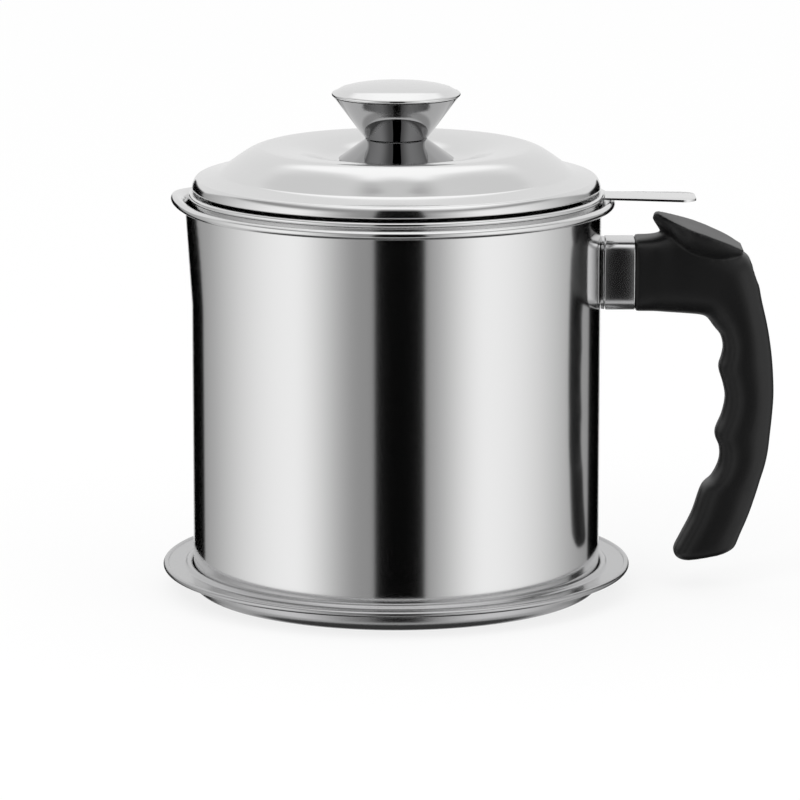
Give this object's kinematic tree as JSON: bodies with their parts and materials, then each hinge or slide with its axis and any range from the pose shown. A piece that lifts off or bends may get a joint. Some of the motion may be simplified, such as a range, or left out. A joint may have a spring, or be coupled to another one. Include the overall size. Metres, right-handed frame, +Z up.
{
  "type": "bacon grease container",
  "caption": "Round steel grease pot with a spout, black side handle, hanging strainer with a lifting tab, domed lid with a spun knob, and a drip tray.",
  "frame": {"origin": "on the pot's axis, at the tray's flat underside", "axes": "+Z up along the pot's axis, +X towards the handle, the spout is on -X"},
  "size_m": [0.2071, 0.1586, 0.1727],
  "materials": {
    "polished_steel": "mirror polished stainless steel",
    "satin_steel": "satin stainless steel",
    "fastener_steel": "plain machined steel",
    "mesh_steel": "woven stainless wire",
    "black_plastic": "moulded black phenolic, fine satin grain"
  },
  "bodies": {
    "tray": {"tray": "polished_steel"},
    "pot": {"pot_body": "polished_steel", "handle_bracket": "satin_steel", "handle_ferrule": "satin_steel", "handle_grip": "black_plastic", "handle_screw": "fastener_steel", "handle_washer": "fastener_steel", "handle_nut": "fastener_steel"},
    "strainer": {"strainer_basket": "polished_steel", "strainer_mesh": "mesh_steel", "strainer_mesh_ring": "satin_steel", "strainer_tab": "polished_steel"},
    "lid": {"lid_shell": "polished_steel", "knob_skirt": "polished_steel", "knob_cone": "polished_steel", "knob_cap": "polished_steel", "knob_core": "fastener_steel", "knob_screw": "fastener_steel", "knob_washer": "fastener_steel"}
  },
  "joints": [
    {"name": "pot_lift", "type": "slide", "parent": "tray", "child": "pot", "axis": [0, 0, 1], "range_m": [0, 0.03]},
    {"name": "strainer_lift", "type": "slide", "parent": "pot", "child": "strainer", "axis": [0, 0, 1], "range_m": [0, 0.06]},
    {"name": "lid_lift", "type": "slide", "parent": "strainer", "child": "lid", "axis": [0, 0, 1], "range_m": [0, 0.06]}
  ]
}
